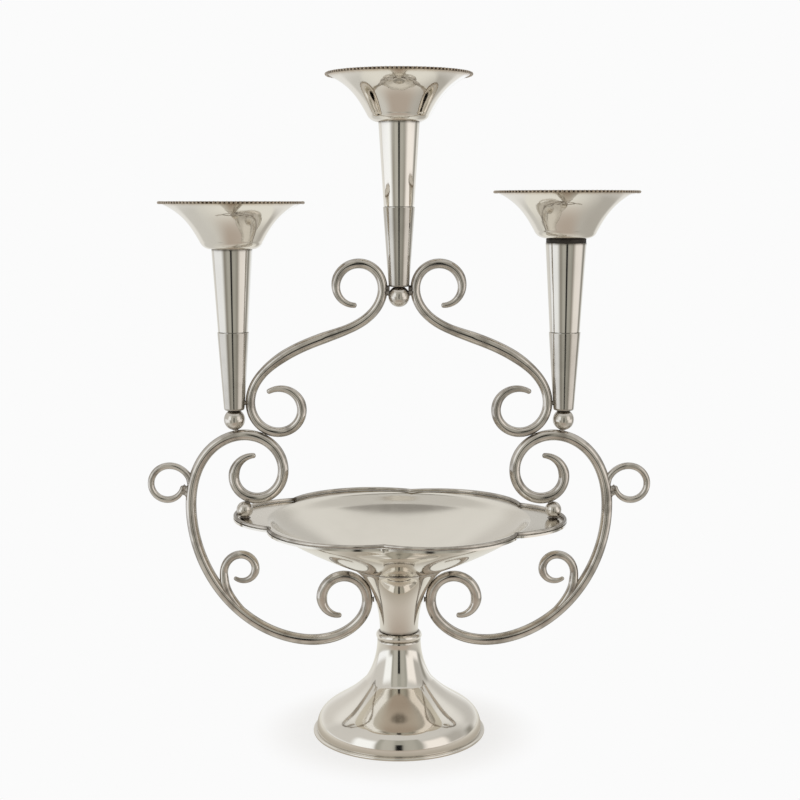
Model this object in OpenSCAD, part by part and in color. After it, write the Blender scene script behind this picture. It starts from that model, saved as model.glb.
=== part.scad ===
// Epergne: a lobed fruit dish on a trumpet foot, scrolled wire arms and three lift-out flower trumpets.
// Millimetres, +Z up, origin at the middle of the foot's underside, arms in the XZ plane.

/* [Foot] */
// Diameter over the rim ring of the foot
foot_d = 101; // [90:1:120]
// Height of the foot up to the collar
foot_h = 56; // [50:1:70]
// Outside diameter of the foot's neck
neck_d = 25.4; // [22:0.2:30]
// Width of the flat rim ring that the foot stands on
foot_ring_w = 4; // [3:0.1:6]
// Thickness of the rim ring
foot_ring_h = 1.8; // [1.2:0.1:3]
// Outside diameter of the collar bead between foot and stem
collar_d = 26.8; // [24:0.2:32]
// Height of the collar bead
collar_h = 4.6; // [3:0.1:7]

/* [Stem] */
// Outside diameter of the stem above the collar
stem_d = 22.4; // [20:0.2:28]
// Height of the stem up to the dish
stem_h = 39.3; // [34:0.1:48]
// Diameter of the flared top of the stem
stem_top_d = 58; // [50:1:66]

/* [Tie stud] */
// Diameter of the stud that ties the stem to the foot
stud_d = 6; // [5:0.5:8]
// Thickness of the end discs in the neck and the stem
disc_t = 2; // [1.5:0.1:3]
// Width of the nut across its flats
nut_af = 10; // [9:0.5:13]
// Height of the nut
nut_h = 5; // [4:0.1:6.5]
// Diameter of the washer
washer_d = 16; // [13:0.5:18]
// Thickness of the washer
washer_t = 1.5; // [1:0.1:2]

/* [Dish] */
// Number of lobes around the dish
lobes = 6; // [4, 6, 8]
// Distance from the axis to the tips of the two lobes that carry the arms
end_reach = 97; // [92:0.5:108]
// Distance from the axis to the tips of the other lobes
lobe_reach = 86; // [84:0.5:96]
// Distance from the axis to the notch between two lobes
notch_reach = 80.5; // [79:0.5:83]
// Radius of the bowl inside the flat flange
bowl_r = 77; // [74:0.5:78]
// Depth of the bowl below the flange
bowl_depth = 26.8; // [22:0.2:32]
// Turn of the lobes away from the arms
dish_turn = -6; // [-10:1:10]
// Diameter of the wire around the dish's edge
dish_wire_d = 2; // [1.6:0.1:2.6]

/* [Arms] */
// Diameter of the arm wire
arm_d = 6.3; // [5.4:0.1:7]
// Diameter of the ball between the dish and an arm
dish_ball_d = 9.6; // [8:0.2:12]
// Distance from that lobe's tip to the middle of the ball
ball_inset = 7.4; // [6.4:0.1:9]
// Diameter of the finger loop's wire
loop_wire_d = 4.2; // [3.6:0.1:5.2]
// Radius of the finger loop's curl, at the middle of its wire
loop_r = 10; // [9.4:0.2:13]
// Diameter of the small inner scroll's wire
sprig_d = 4.8; // [4:0.1:5.6]

/* [Arch] */
// Diameter of the arch wire at its middle
arch_d = 6.6; // [5.8:0.1:7.4]
// Diameter of the arch wire in its volutes
volute_d = 5.6; // [4.8:0.1:6.2]
// Diameter of the drawn-out ends of all wires
tip_d = 3; // [2.4:0.1:4]

/* [Trumpets] */
// Diameter of the ball under each socket
socket_ball_d = 12.2; // [11:0.2:14]
// Height of a socket
socket_h = 45; // [38:0.5:55]
// Outside diameter of a socket at its bottom
socket_foot_d = 11.8; // [11:0.2:14]
// Outside diameter of a socket at its mouth
socket_top_d = 18; // [17:0.2:21]
// Length of the trumpet tube above its socket
tube_h = 47; // [38:0.5:60]
// Length of the right-hand trumpet's tube, which stands a little taller
right_tube_h = 50.5; // [40:0.5:62]
// Outside diameter of the tube just above its socket
tube_foot_d = 17.2; // [16.6:0.2:20]
// Outside diameter of the tube below the mouth
tube_top_d = 23.2; // [21:0.2:28]
// Height of the flared mouth with its rim
mouth_h = 27; // [23:0.5:34]
// Diameter of the mouth's rounded base
mouth_base_d = 36.4; // [33:0.2:42]
// Diameter over the mouth's rim
mouth_d = 83.2; // [74:0.2:96]
// Diameter of the bead rim
rim_d = 1.9; // [1.5:0.1:2.4]
// Height of the packing band in the right-hand trumpet
band_h = 2.4; // [1:0.1:3]

/* [Sheet and clearances] */
// Wall of the foot, stem and dish
wall = 1.2; // [0.9:0.1:1.6]
// Wall of the sockets and trumpets
thin_wall = 0.8; // [0.6:0.1:1]
// Solder gap between joined pieces
solder = 0.1; // [0.05:0.05:0.2]
// Clearance of each trumpet in its tapered socket
plug_fit = 0.1; // [0.05:0.05:0.2]
// Clearance of the stud in its holes
stud_fit = 0.1; // [0.05:0.05:0.2]

/* [Hidden] */
$fn = 64;
silver = "#b7b1a4";
pale_silver = "#cfcabf";
dark_silver = "#8f897c";
bronze = "#6d5f4b";
deg = 180 / PI;

// Heights of the column
collar_z = foot_h + solder;
stem_z = collar_z + collar_h + solder;
dish_z = stem_z + stem_h + solder;
flange_z = dish_z + bowl_depth;
flange_top = flange_z + wall;

// Radii
foot_r = foot_d / 2;
neck_r = neck_d / 2;
stem_r = stem_d / 2;
stem_top_r = stem_top_d / 2;
arm_r = arm_d / 2;
sprig_r = sprig_d / 2;
loop_wire_r = loop_wire_d / 2;
volute_r = volute_d / 2;
tip_r = tip_d / 2;
dish_ball_r = dish_ball_d / 2;
socket_ball_r = socket_ball_d / 2;
dish_wire_r = dish_wire_d / 2;
rim_r = rim_d / 2;
stud_r = stud_d / 2;

// Circles that draw the lobes, each from its tip and its two notches
function reach_of(i) = i % (lobes / 2) == 0 ? end_reach : lobe_reach;
function lobe_c(i) =
    (pow(reach_of(i), 2) - pow(notch_reach, 2)) / (2 * (reach_of(i) - notch_reach * cos(180 / lobes)));
function lobe_r(i) = reach_of(i) - lobe_c(i);

// Arm scroll: where it starts, its heading, the length of each stretch and the bend radius at each joint.
// Between joints the bend changes evenly, as in a hand-drawn scroll.
arm_start = [84, 164];
arm_heading = -2;
arm_lengths = [24, 35, 35, 31, 35, 47, 55, 39, 27, 27, 24];
arm_bends = [-12, -12.5, -17.5, -24.5, -35, -85, -85, -65, -31, -13.5, -13.5, -9];
// Distances along the arm of what it carries or touches
arm_taper = 16;
ball_zone = [20, 60];
socket_at = 102.5;
loop_at = 145;
sprig_at = 214;
stem_zone = [300, 372];
arm_seat_x = 89.6;

// Arch scroll
arch_start = [26, 251.5];
arch_heading = 0;
arch_lengths = [25, 25, 25, 29, 36, 27, 25, 25, 22];
arch_bends = [10, 13, 13.5, 28, -340, -60, -19, -14.5, -12, -13.5];
arch_taper = 22;
arch_swell = [92, 106, 132, 146];
foot_zone = [150, 230];
rest_zone = [60, 130];

// Finger loop, which leaves the arm and curls back to it, as shares of its radius
loop_leave = 156.8;
loop_lengths = loop_r * [1.2, 1.2, 1.2, 1.2, 1.5];
loop_bends = -loop_r * [1.85, 1.31, 1.09, 0.99, 0.92, 0.91];
loop_taper = loop_r;

// Small inner scroll, which leaves the arm at an angle
sprig_leave = -115;
sprig_lengths = [13, 16, 16, 14];
sprig_bends = [-7, 13.5, 9, 7.5, 7.5];
sprig_taper = 14;

// Sampling of the wires
fine_step = 1;
ring_turn = 15;
ring_run = 9;
arm_sides = 12;
sprig_sides = 10;

// Points on a cubic curve
function curve(a, b, c, d, n) = [
    for (i = [0 : n])
        let (t = i / n, u = 1 - t)
            u * u * u * a + 3 * u * u * t * b + 3 * u * t * t * c + t * t * t * d
];

// Points on an arc
function arc(centre, r, from, to, n) = [
    for (i = [0 : n])
        let (a = from + (to - from) * i / n)
            centre + r * [cos(a), sin(a)]
];

function reversed(list) = [for (i = [len(list) - 1 : -1 : 0]) list[i]];
function joined(a, b) = concat(a, [for (i = [1 : len(b) - 1]) b[i]]);

// A profile moved to its right-hand side by a wall thickness
function moved_in(pts, t) = [
    for (i = [0 : len(pts) - 1])
        let (
            d = pts[min(i + 1, len(pts) - 1)] - pts[max(i - 1, 0)],
            n = [d.y, -d.x] / norm(d)
        )
            pts[i] + t * n
];

// Closed outline of a sheet with the given outer profile
function sheet(pts, t) = concat(pts, reversed(moved_in(pts, t)));

// Running totals of a list, from zero
function totals(list) = [
    for (i = 0, s = 0; i <= len(list); s = s + (i < len(list) ? list[i] : 0), i = i + 1)
        s
];

// One small step along a wire: [x, z, heading]
function advance(v, bend, ds) =
    let (turn = bend * ds * deg, mid = v[2] + turn / 2)
        [v[0] + ds * cos(mid), v[1] + ds * sin(mid), v[2] + turn];

// Centre line of a scroll, as [x, z, heading] every fine step
function scroll(start, heading, lengths, bends) =
    let (
        ends = totals(lengths),
        long = ends[len(ends) - 1],
        n = ceil(long / fine_step),
        ds = long / n,
        table = [for (i = [0 : len(ends) - 1]) [ends[i], 1 / bends[i]]]
    )
        [
            for (
                i = 0, v = [start.x, start.y, heading];
                i <= n;
                v = advance(v, lookup((i + 0.5) * ds, table), ds), i = i + 1
            )
                v
        ];

// A centre line stretched sideways about x0 and moved to x1, and lifted
function fitted(path, x0, x1, stretch, lift) = [
    for (v = path)
        let (swing = atan2(sin(v[2]), stretch * cos(v[2])) - atan2(sin(v[2]), cos(v[2])))
            [x1 + (v[0] - x0) * stretch, v[1] + lift, v[2] + swing]
];

// Place and heading at a distance along a centre line
function at(path, s) =
    let (f = min(max(s / fine_step, 0), len(path) - 1.001), i = floor(f), t = f - i)
        path[i] * (1 - t) + path[i + 1] * t;

// Point beside a centre line, to the left of its heading
function beside(path, s, off) =
    let (v = at(path, s))
        [v[0] - off * sin(v[2]), v[1] + off * cos(v[2])];

// The stretch of a centre line between two distances
function zone(path, ends) = [for (s = [ends[0] : fine_step : ends[1]]) at(path, s)];

// Foot, neck and stem profiles, each with the inside on its right
foot_edge = [foot_r - foot_ring_w / 2, foot_ring_h + solder];
shoulder = [neck_r + 0.208 * (foot_edge.x - neck_r), foot_edge.y + 0.545 * (foot_h - foot_edge.y)];
throat = shoulder - [neck_r, foot_h];
dome = foot_edge - shoulder;
foot_profile = joined(
    curve(
        [neck_r, foot_h],
        [neck_r, foot_h + 0.56 * throat.y],
        shoulder - 0.045 * [dome.x, dome.y],
        shoulder,
        12
    ),
    curve(
        shoulder,
        shoulder + 0.57 * dome,
        [foot_edge.x, foot_edge.y - 0.51 * dome.y],
        foot_edge,
        18
    )
);
stem_profile = curve(
    [stem_top_r + 2, stem_z + stem_h + 1],
    [stem_r + 0.34 * (stem_top_r - stem_r), stem_z + stem_h * 0.87],
    [stem_r, stem_z + stem_h * 0.42],
    [stem_r, stem_z],
    20
);
stem_table = [for (p = stem_profile) [p.y, p.x]];
function stem_at(z) = lookup(z, stem_table);

// Dish profile, from the flange to the middle of its floor
bowl_edge = [bowl_r * 0.955, flange_z - bowl_depth * 0.146];
bowl_turn = [bowl_r, flange_z] - bowl_edge;
bowl_span = bowl_edge.x - stem_top_r;
dish_profile = concat(
    [[end_reach + 3, flange_z]],
    curve(
        [bowl_r, flange_z],
        [bowl_r - 0.3 * bowl_turn.x, flange_z],
        bowl_edge + 0.5 * bowl_turn,
        bowl_edge,
        5
    ),
    [for (p = curve(
        bowl_edge,
        [bowl_edge.x - 0.267 * bowl_span, flange_z - bowl_depth * 0.44],
        [stem_top_r + 0.378 * bowl_span, dish_z + bowl_depth * 0.24],
        [stem_top_r, dish_z],
        12
    )) if (p != bowl_edge) p],
    [[0, dish_z]]
);

// The arm rests on its dish ball and against the stem
seat_x = end_reach - ball_inset;
seat_z = flange_top + solder + dish_ball_r;
ball_reach = dish_ball_r + arm_r + solder;
arm_drawn = scroll(arm_start, arm_heading, arm_lengths, arm_bends);
arm_lift = max([
    for (v = zone(arm_drawn, ball_zone))
        if (abs(v[0] - arm_seat_x) < ball_reach)
            seat_z + sqrt(pow(ball_reach, 2) - pow(v[0] - arm_seat_x, 2)) - v[1]
]);
function stem_keep(z) =
    stem_at(z) + (arm_r + solder) * sqrt(1 + pow(stem_at(z + 0.5) - stem_at(z - 0.5), 2));
arm_stretch = min([
    for (v = zone(arm_drawn, stem_zone))
        (seat_x - stem_keep(v[1] + arm_lift)) / (arm_seat_x - v[0])
]);
arm_path = fitted(arm_drawn, arm_seat_x, seat_x, arm_stretch, arm_lift);
arm_long = totals(arm_lengths)[len(arm_lengths)];
arm_radii = [[0, tip_r], [arm_taper, arm_r], [arm_long - arm_taper, arm_r], [arm_long, tip_r]];

// Side sockets stand on balls on top of the arms
side_ball = beside(arm_path, socket_at, socket_ball_r + arm_r + solder);
ball_sink = 0.6;
side_x = side_ball.x;
side_z = side_ball.y + socket_ball_r - ball_sink;
socket_slope = (socket_top_d - socket_foot_d) / 2 / socket_h;
function socket_r(h) = socket_foot_d / 2 + socket_slope * h;

// The arch reaches from the side sockets to the top ball, and rests on the arms
arch_drawn = scroll(arch_start, arch_heading, arch_lengths, arch_bends);
arch_long = totals(arch_lengths)[len(arch_lengths)];
arch_in = min([for (v = arch_drawn) v[0]]);
arch_out = max([for (v = arch_drawn) v[0]]);
contact_h = 6;
arch_x_in = max(socket_ball_r, socket_r(contact_h)) + volute_r + solder;
arch_x_out = side_x - socket_r(contact_h) - volute_r - solder;
arch_stretch = (arch_x_out - arch_x_in) / (arch_out - arch_in);
arch_level = fitted(arch_drawn, arch_in, arch_x_in, arch_stretch, 0);
rest_reach = arm_r + volute_r + solder;
arch_lift = max([
    for (v = zone(arch_level, foot_zone), w = zone(arm_path, rest_zone))
        if (abs(v[0] - w[0]) < rest_reach)
            w[1] + sqrt(pow(rest_reach, 2) - pow(v[0] - w[0], 2)) - v[1]
]);
arch_path = fitted(arch_level, 0, 0, 1, arch_lift);
arch_radii = [
    [0, tip_r],
    [arch_taper, volute_r],
    [arch_swell[0], volute_r],
    [arch_swell[1], arch_d / 2],
    [arch_swell[2], arch_d / 2],
    [arch_swell[3], volute_r],
    [arch_long - arch_taper, volute_r],
    [arch_long, tip_r]
];
top_ball_drop = 5.6;
top_ball_z = max([for (v = arch_path) if (v[0] < arch_x_in + 0.05) v[1]]) - top_ball_drop;
top_z = top_ball_z + socket_ball_r - ball_sink;

// Centre line of a branch, from the arm's own place and heading
function branch(s, leave, lengths, bends) =
    let (root = at(arm_path, s))
        scroll([root[0], root[1]], root[2] + leave, lengths, bends);

loop_path = branch(loop_at, loop_leave, loop_lengths, loop_bends);
loop_long = totals(loop_lengths)[len(loop_lengths)];
loop_radii = [[0, loop_wire_r], [loop_long - loop_taper, loop_wire_r], [loop_long, tip_r]];
sprig_path = branch(sprig_at, sprig_leave, sprig_lengths, sprig_bends);
sprig_long = totals(sprig_lengths)[len(sprig_lengths)];
sprig_radii = [[0, sprig_r], [sprig_long - sprig_taper, sprig_r], [sprig_long, tip_r * 0.8]];

// Trumpets, measured from the bottom of their socket
socket_floor = 2;
plug_z = socket_floor + 0.4;
seam_z = socket_h + plug_fit;
tube_top_z = seam_z + tube_h;
right_top_z = seam_z + right_tube_h;
right_lift = right_tube_h - tube_h + band_h + solder;
plug_foot_r = socket_r(plug_z) - thin_wall - plug_fit;
plug_top_r = socket_r(socket_h) - thin_wall - plug_fit;
lip = [mouth_d / 2 - rim_d - solder, mouth_h - rim_r - thin_wall / 2];
mouth_hole_r = tube_top_d / 2 - thin_wall;
bell = [mouth_base_d / 2, lip.y * 0.17];
flare = lip - bell;
base_flat = tube_top_d / 2 + solder;
base_round = bell.x - base_flat;
mouth_profile = concat(
    joined(
        curve(
            lip,
            lip - [0.6 * flare.x, 0.27 * flare.y],
            bell + [0.21 * flare.x, 0.367 * flare.y],
            bell,
            16
        ),
        curve(
            bell,
            [bell.x - 0.14 * base_round, bell.y * 0.5],
            [bell.x - 0.46 * base_round, 0],
            [base_flat, 0],
            8
        )
    ),
    [[mouth_hole_r, 0]]
);

// Solid of revolution of an outline
module turned(pts) {
    rotate_extrude()
        polygon(pts);
}

// Mirrors what is drawn on the right to the left
module on_left() {
    mirror([1, 0, 0])
        children();
}

// Places a piece on its socket's axis
module on_axis(x, z) {
    translate([x, 0, z])
        children();
}

// Round wire along a centre line, with radii by distance and short points at its ends
module wire(path, radii, sides) {
    last = len(path) - 1;
    cost = totals([
        for (i = [1 : last])
            abs(path[i][2] - path[i - 1][2]) / ring_turn + fine_step / ring_run
    ]);
    rings = ceil(cost[last]);
    place = [for (i = [0 : last]) [cost[i], i]];
    spots = [for (j = [0 : rings]) lookup(j * cost[last] / rings, place) * fine_step];
    skin = [
        for (s = spots, k = [0 : sides - 1])
            let (v = at(path, s), r = lookup(s, radii), a = (k + 0.5) * 360 / sides)
                [v[0] - r * cos(a) * sin(v[2]), r * sin(a), v[1] + r * cos(a) * cos(v[2])]
    ];
    first_v = path[0];
    last_v = path[last];
    nib = 0.5;
    first_nib = nib * lookup(0, radii);
    last_nib = nib * lookup(last * fine_step, radii);
    tips = [
        [first_v[0] - first_nib * cos(first_v[2]), 0, first_v[1] - first_nib * sin(first_v[2])],
        [last_v[0] + last_nib * cos(last_v[2]), 0, last_v[1] + last_nib * sin(last_v[2])]
    ];
    side_faces = [
        for (j = [0 : rings - 1], k = [0 : sides - 1])
            let (
                a = j * sides + k,
                b = j * sides + (k + 1) % sides,
                c = b + sides,
                d = a + sides
            )
                each [[a, b, c], [a, c, d]]
    ];
    end = rings * sides;
    first_tip = end + sides;
    tip_faces = [
        for (k = [0 : sides - 1])
            each [
                [first_tip, (k + 1) % sides, k],
                [first_tip + 1, end + k, end + (k + 1) % sides]
            ]
    ];
    polyhedron(points = concat(skin, tips), faces = concat(side_faces, tip_faces), convexity = 10);
}

// Hollow trumpet foot
module foot() {
    color(silver)
        turned(sheet(foot_profile, wall));
}

// Flat ring with a rounded edge that the foot stands on
module foot_rim_ring() {
    half = foot_ring_h / 2;
    color(silver)
        turned(concat(
            [[foot_r - foot_ring_w, 0]],
            arc([foot_r - half, half], half, -90, 90, 10),
            [[foot_r - foot_ring_w, foot_ring_h]]
        ));
}

// Disc soldered in the neck, with the stud's hole
module foot_end_disc() {
    color(dark_silver)
        translate([0, 0, foot_h - disc_t])
            difference() {
                cylinder(h = disc_t, r = neck_r - wall - solder);
                stud_hole(disc_t);
            }
}

// Half-round bead clamped between foot and stem
module collar() {
    half = collar_h / 2;
    inner_r = stud_r + 4;
    color(silver)
        translate([0, 0, collar_z])
            turned(concat(
                [[inner_r, 0]],
                arc([collar_d / 2 - half, half], half, -90, 90, 14),
                [[inner_r, collar_h]]
            ));
}

// Flared stem under the dish
module stem() {
    color(silver)
        rotate_extrude()
            intersection() {
                polygon(sheet(stem_profile, wall));
                translate([0, stem_z])
                    square([stem_top_r + 3, stem_h]);
            }
}

// Disc soldered in the bottom of the stem
module stem_end_disc() {
    color(dark_silver)
        translate([0, 0, stem_z])
            difference() {
                cylinder(h = disc_t, r = stem_r - wall - solder);
                stud_hole(disc_t);
            }
}

module stud_hole(h) {
    translate([0, 0, -1])
        cylinder(h = h + 2, r = stud_r + stud_fit);
}

// Stud with its head in the stem and its end below the nut
module tie_stud() {
    head_h = 3;
    head_r = stud_r + 2.5;
    head_z = stem_z + disc_t + solder;
    end_z = nut_z() - 3;
    color(bronze)
        union() {
            translate([0, 0, head_z])
                cylinder(h = head_h, r = head_r);
            translate([0, 0, end_z])
                cylinder(h = head_z - end_z + 1, r = stud_r);
        }
}

function washer_z() = foot_h - disc_t - solder - washer_t;
function nut_z() = washer_z() - solder - nut_h;

module tie_washer() {
    color(bronze)
        translate([0, 0, washer_z()])
            difference() {
                cylinder(h = washer_t, d = washer_d);
                stud_hole(washer_t);
            }
}

module tie_nut() {
    color(bronze)
        translate([0, 0, nut_z()])
            difference() {
                cylinder(h = nut_h, r = nut_af / 2 / cos(30), $fn = 6);
                stud_hole(nut_h);
            }
}

// Outline of the lobed dish
module lobed_outline() {
    circle(r = notch_reach * 0.9);
    for (i = [0 : lobes - 1])
        rotate(i * 360 / lobes)
            translate([lobe_c(i), 0])
                circle(r = lobe_r(i));
}

// Bowl with a flat flange trimmed to lobes
module dish() {
    color(pale_silver)
        rotate([0, 0, dish_turn])
            intersection() {
                turned(sheet(dish_profile, wall));
                translate([0, 0, dish_z - 1])
                    linear_extrude(bowl_depth + wall + 2)
                        lobed_outline();
            }
}

// Wire on the edge of the flange, mitred at the notches
module dish_rim_wire() {
    half = 180 / lobes;
    near = notch_reach / 2;
    far = end_reach + 5;
    color(silver)
        translate([0, 0, flange_top + solder + dish_wire_r])
            for (i = [0 : lobes - 1])
                rotate([0, 0, dish_turn + i * 360 / lobes])
                    intersection() {
                        translate([lobe_c(i), 0, 0])
                            rotate_extrude()
                                translate([lobe_r(i) - dish_wire_r, 0])
                                    circle(r = dish_wire_r);
                        translate([solder, 0, -2 * dish_wire_r])
                            linear_extrude(4 * dish_wire_r)
                                polygon([
                                    [near, -near * tan(half)],
                                    [far, -far * tan(half)],
                                    [far, far * tan(half)],
                                    [near, near * tan(half)]
                                ]);
                    }
}

// Ball that carries an arm on the dish's flange
module dish_ball() {
    color(silver)
        translate([seat_x, 0, seat_z])
            sphere(r = dish_ball_r);
}

// Long arm with a volute at each end
module arm_scroll() {
    color(silver)
        wire(arm_path, arm_radii, arm_sides);
}

// Cuts a branch off at the arm's surface, which bends evenly round its root
module off_arm(s) {
    reach = 4;
    bend = (at(arm_path, s + reach)[2] - at(arm_path, s - reach)[2]) / (2 * reach) / deg;
    bend_r = 1 / abs(bend);
    hub = beside(arm_path, s, sign(bend) * bend_r);
    difference() {
        children();
        translate([hub.x, 0, hub.y])
            rotate([90, 0, 0])
                rotate_extrude()
                    translate([bend_r, 0])
                        circle(r = arm_r + solder);
    }
}

// Loop for a finger, a curl that springs from the outside of the arm and ends beside its root
module finger_loop() {
    color(silver)
        off_arm(loop_at)
            wire(loop_path, loop_radii, sprig_sides);
}

// Small scroll that springs from the inside of the arm
module inner_scroll() {
    color(silver)
        off_arm(sprig_at)
            wire(sprig_path, sprig_radii, sprig_sides);
}

// S-shaped half of the arch
module arch_scroll() {
    color(silver)
        wire(arch_path, arch_radii, arm_sides);
}

// Ball under a socket
module socket_ball() {
    color(silver)
        translate([0, 0, ball_sink - socket_ball_r])
            sphere(r = socket_ball_r);
}

// Tapered cup with a seat for its ball
module socket() {
    color(silver)
        rotate_extrude()
            difference() {
                polygon([
                    [0, 0],
                    [socket_r(0), 0],
                    [socket_r(socket_h), socket_h],
                    [socket_r(socket_h) - thin_wall, socket_h],
                    [socket_r(socket_floor) - thin_wall, socket_floor],
                    [0, socket_floor]
                ]);
                translate([0, ball_sink - socket_ball_r])
                    circle(r = socket_ball_r + solder);
            }
}

// Tube with a tapered plug that drops into the socket
module trumpet_tube(top_z = tube_top_z) {
    foot = tube_foot_d / 2;
    top = tube_top_d / 2;
    color(silver)
        turned([
            [plug_foot_r, plug_z],
            [plug_top_r, seam_z],
            [foot, seam_z],
            [top, top_z],
            [top - thin_wall, top_z],
            [plug_top_r - thin_wall, seam_z],
            [plug_foot_r - thin_wall, plug_z]
        ]);
}

// Disc that closes the bottom of the tube
module trumpet_floor() {
    floor_t = 1;
    color(dark_silver)
        translate([0, 0, plug_z])
            cylinder(h = floor_t, r = plug_foot_r - thin_wall - solder);
}

// Thin packing band between tube and mouth
module neck_band() {
    color(bronze)
        translate([0, 0, right_top_z + solder])
            difference() {
                cylinder(h = band_h, r = tube_top_d / 2 - 0.2);
                translate([0, 0, -1])
                    cylinder(h = band_h + 2, r = mouth_hole_r);
            }
}

// Rounded base and flared bell
module trumpet_mouth(lift = 0) {
    color(pale_silver)
        translate([0, 0, tube_top_z + solder + lift])
            turned(sheet(mouth_profile, thin_wall));
}

// Bead rim round the lip
module trumpet_rim(lift = 0) {
    color(silver)
        translate([0, 0, tube_top_z + solder + lift + mouth_h - rim_r])
            rotate_extrude()
                translate([mouth_d / 2 - rim_r, 0])
                    circle(r = rim_r);
}

foot();
foot_rim_ring();
foot_end_disc();
collar();
stem();
stem_end_disc();
tie_stud();
tie_washer();
tie_nut();
dish();
dish_rim_wire();
on_left() dish_ball();  // left_dish_ball
dish_ball();  // right_dish_ball
on_left() arm_scroll();  // left_arm_scroll
arm_scroll();  // right_arm_scroll
on_left() finger_loop();  // left_finger_loop
finger_loop();  // right_finger_loop
on_left() inner_scroll();  // left_inner_scroll
inner_scroll();  // right_inner_scroll
on_axis(-side_x, side_z) socket_ball();  // left_socket_ball
on_axis(side_x, side_z) socket_ball();  // right_socket_ball
on_axis(0, top_z) socket_ball();  // top_socket_ball
on_axis(-side_x, side_z) socket();  // left_socket
on_axis(side_x, side_z) socket();  // right_socket
on_axis(0, top_z) socket();  // top_socket
on_left() arch_scroll();  // left_arch_scroll
arch_scroll();  // right_arch_scroll
on_axis(-side_x, side_z) trumpet_tube();  // left_trumpet_tube
on_axis(-side_x, side_z) trumpet_floor();  // left_trumpet_floor
on_axis(-side_x, side_z) trumpet_mouth();  // left_trumpet_mouth
on_axis(-side_x, side_z) trumpet_rim();  // left_trumpet_rim
on_axis(side_x, side_z) trumpet_tube(right_top_z);  // right_trumpet_tube
on_axis(side_x, side_z) trumpet_floor();  // right_trumpet_floor
on_axis(side_x, side_z) neck_band();  // right_neck_band
on_axis(side_x, side_z) trumpet_mouth(right_lift);  // right_trumpet_mouth
on_axis(side_x, side_z) trumpet_rim(right_lift);  // right_trumpet_rim
on_axis(0, top_z) trumpet_tube();  // top_trumpet_tube
on_axis(0, top_z) trumpet_floor();  // top_trumpet_floor
on_axis(0, top_z) trumpet_mouth();  // top_trumpet_mouth
on_axis(0, top_z) trumpet_rim();  // top_trumpet_rim
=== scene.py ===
import math

import bmesh
import bpy
import numpy as np
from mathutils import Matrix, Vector


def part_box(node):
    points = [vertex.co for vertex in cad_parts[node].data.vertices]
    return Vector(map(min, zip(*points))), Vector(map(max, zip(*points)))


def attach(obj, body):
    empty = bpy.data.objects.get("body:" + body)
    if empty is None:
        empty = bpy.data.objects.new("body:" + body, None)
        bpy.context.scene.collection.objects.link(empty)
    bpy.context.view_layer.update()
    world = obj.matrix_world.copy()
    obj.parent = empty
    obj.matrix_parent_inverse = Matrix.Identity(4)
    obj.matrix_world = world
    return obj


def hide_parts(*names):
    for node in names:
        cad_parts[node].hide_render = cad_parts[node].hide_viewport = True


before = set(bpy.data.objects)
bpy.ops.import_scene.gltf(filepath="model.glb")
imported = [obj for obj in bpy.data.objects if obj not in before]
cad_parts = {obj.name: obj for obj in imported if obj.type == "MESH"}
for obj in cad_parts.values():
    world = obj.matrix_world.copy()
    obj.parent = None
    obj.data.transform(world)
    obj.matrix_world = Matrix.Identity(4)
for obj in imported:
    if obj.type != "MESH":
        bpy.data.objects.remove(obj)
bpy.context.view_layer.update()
mm = 0.001
print("frame loaded:", len(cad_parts), "nodes")


# outlines and lines, in millimetres
def bezier(a, b, c, d, count):
    t = np.linspace(0, 1, count + 1)[:, None]
    u = 1 - t
    a, b, c, d = (np.array(p, float) for p in (a, b, c, d))
    return u**3 * a + 3 * u * u * t * b + 3 * u * t * t * c + t**3 * d


def arcPoints(centre, radius, start, end, count):
    angle = np.radians(np.linspace(start, end, count + 1))
    return np.column_stack([centre[0] + radius * np.cos(angle), centre[1] + radius * np.sin(angle)])


def summed(steps):
    return np.concatenate([[0], np.cumsum(steps)])


def travelled(line):  # the way from a line's start to each of its points
    return summed(np.linalg.norm(np.diff(line, axis=0), axis=1))


def unit(way):
    return way / np.linalg.norm(way)


def innerSide(outer, wall):  # the steps of a line, and the line one wall to its right, run backwards
    step = np.gradient(outer, axis=0)
    normal = np.column_stack([step[:, 1], -step[:, 0]]) / np.linalg.norm(step, axis=1)[:, None]
    return step, (outer + wall * normal)[::-1]


def sheetOutline(outer, wall):  # a sheet with its inside on the right and its two edges rounded
    step, inner = innerSide(outer, wall)
    rounding = ((0, 0), (0.12, 0.12), (0.5, 0.2), (0.88, 0.12), (1, 0))  # in walls
    ends = []
    for a, b, out in ((outer[-1], inner[0], step[-1]), (inner[-1], outer[0], -step[0])):
        bulge = unit(out) * wall
        ends.append([a + (b - a) * f + bulge * h for f, h in rounding])
    return np.vstack([outer[:-1], ends[0], inner[1:-1], ends[1][:-1]])


def scrollLine(shape):  # a wire's centre line, (x, z, heading) at every millimetre
    ends = summed(shape["lengths"])
    count = int(math.ceil(ends[-1]))
    step = ends[-1] / count
    bend = np.interp((np.arange(count) + 0.5) * step, ends, 1 / np.array(shape["bends"], float)) * step
    heading = math.radians(shape["heading"]) + summed(bend)
    middle = heading[:-1] + bend / 2
    x = shape["start"][0] + summed(step * np.cos(middle))
    z = shape["start"][1] + summed(step * np.sin(middle))
    return np.column_stack([x, z, heading])


def nodeBox(name):
    low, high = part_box(name)
    return np.array(low) / mm, np.array(high) / mm


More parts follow.
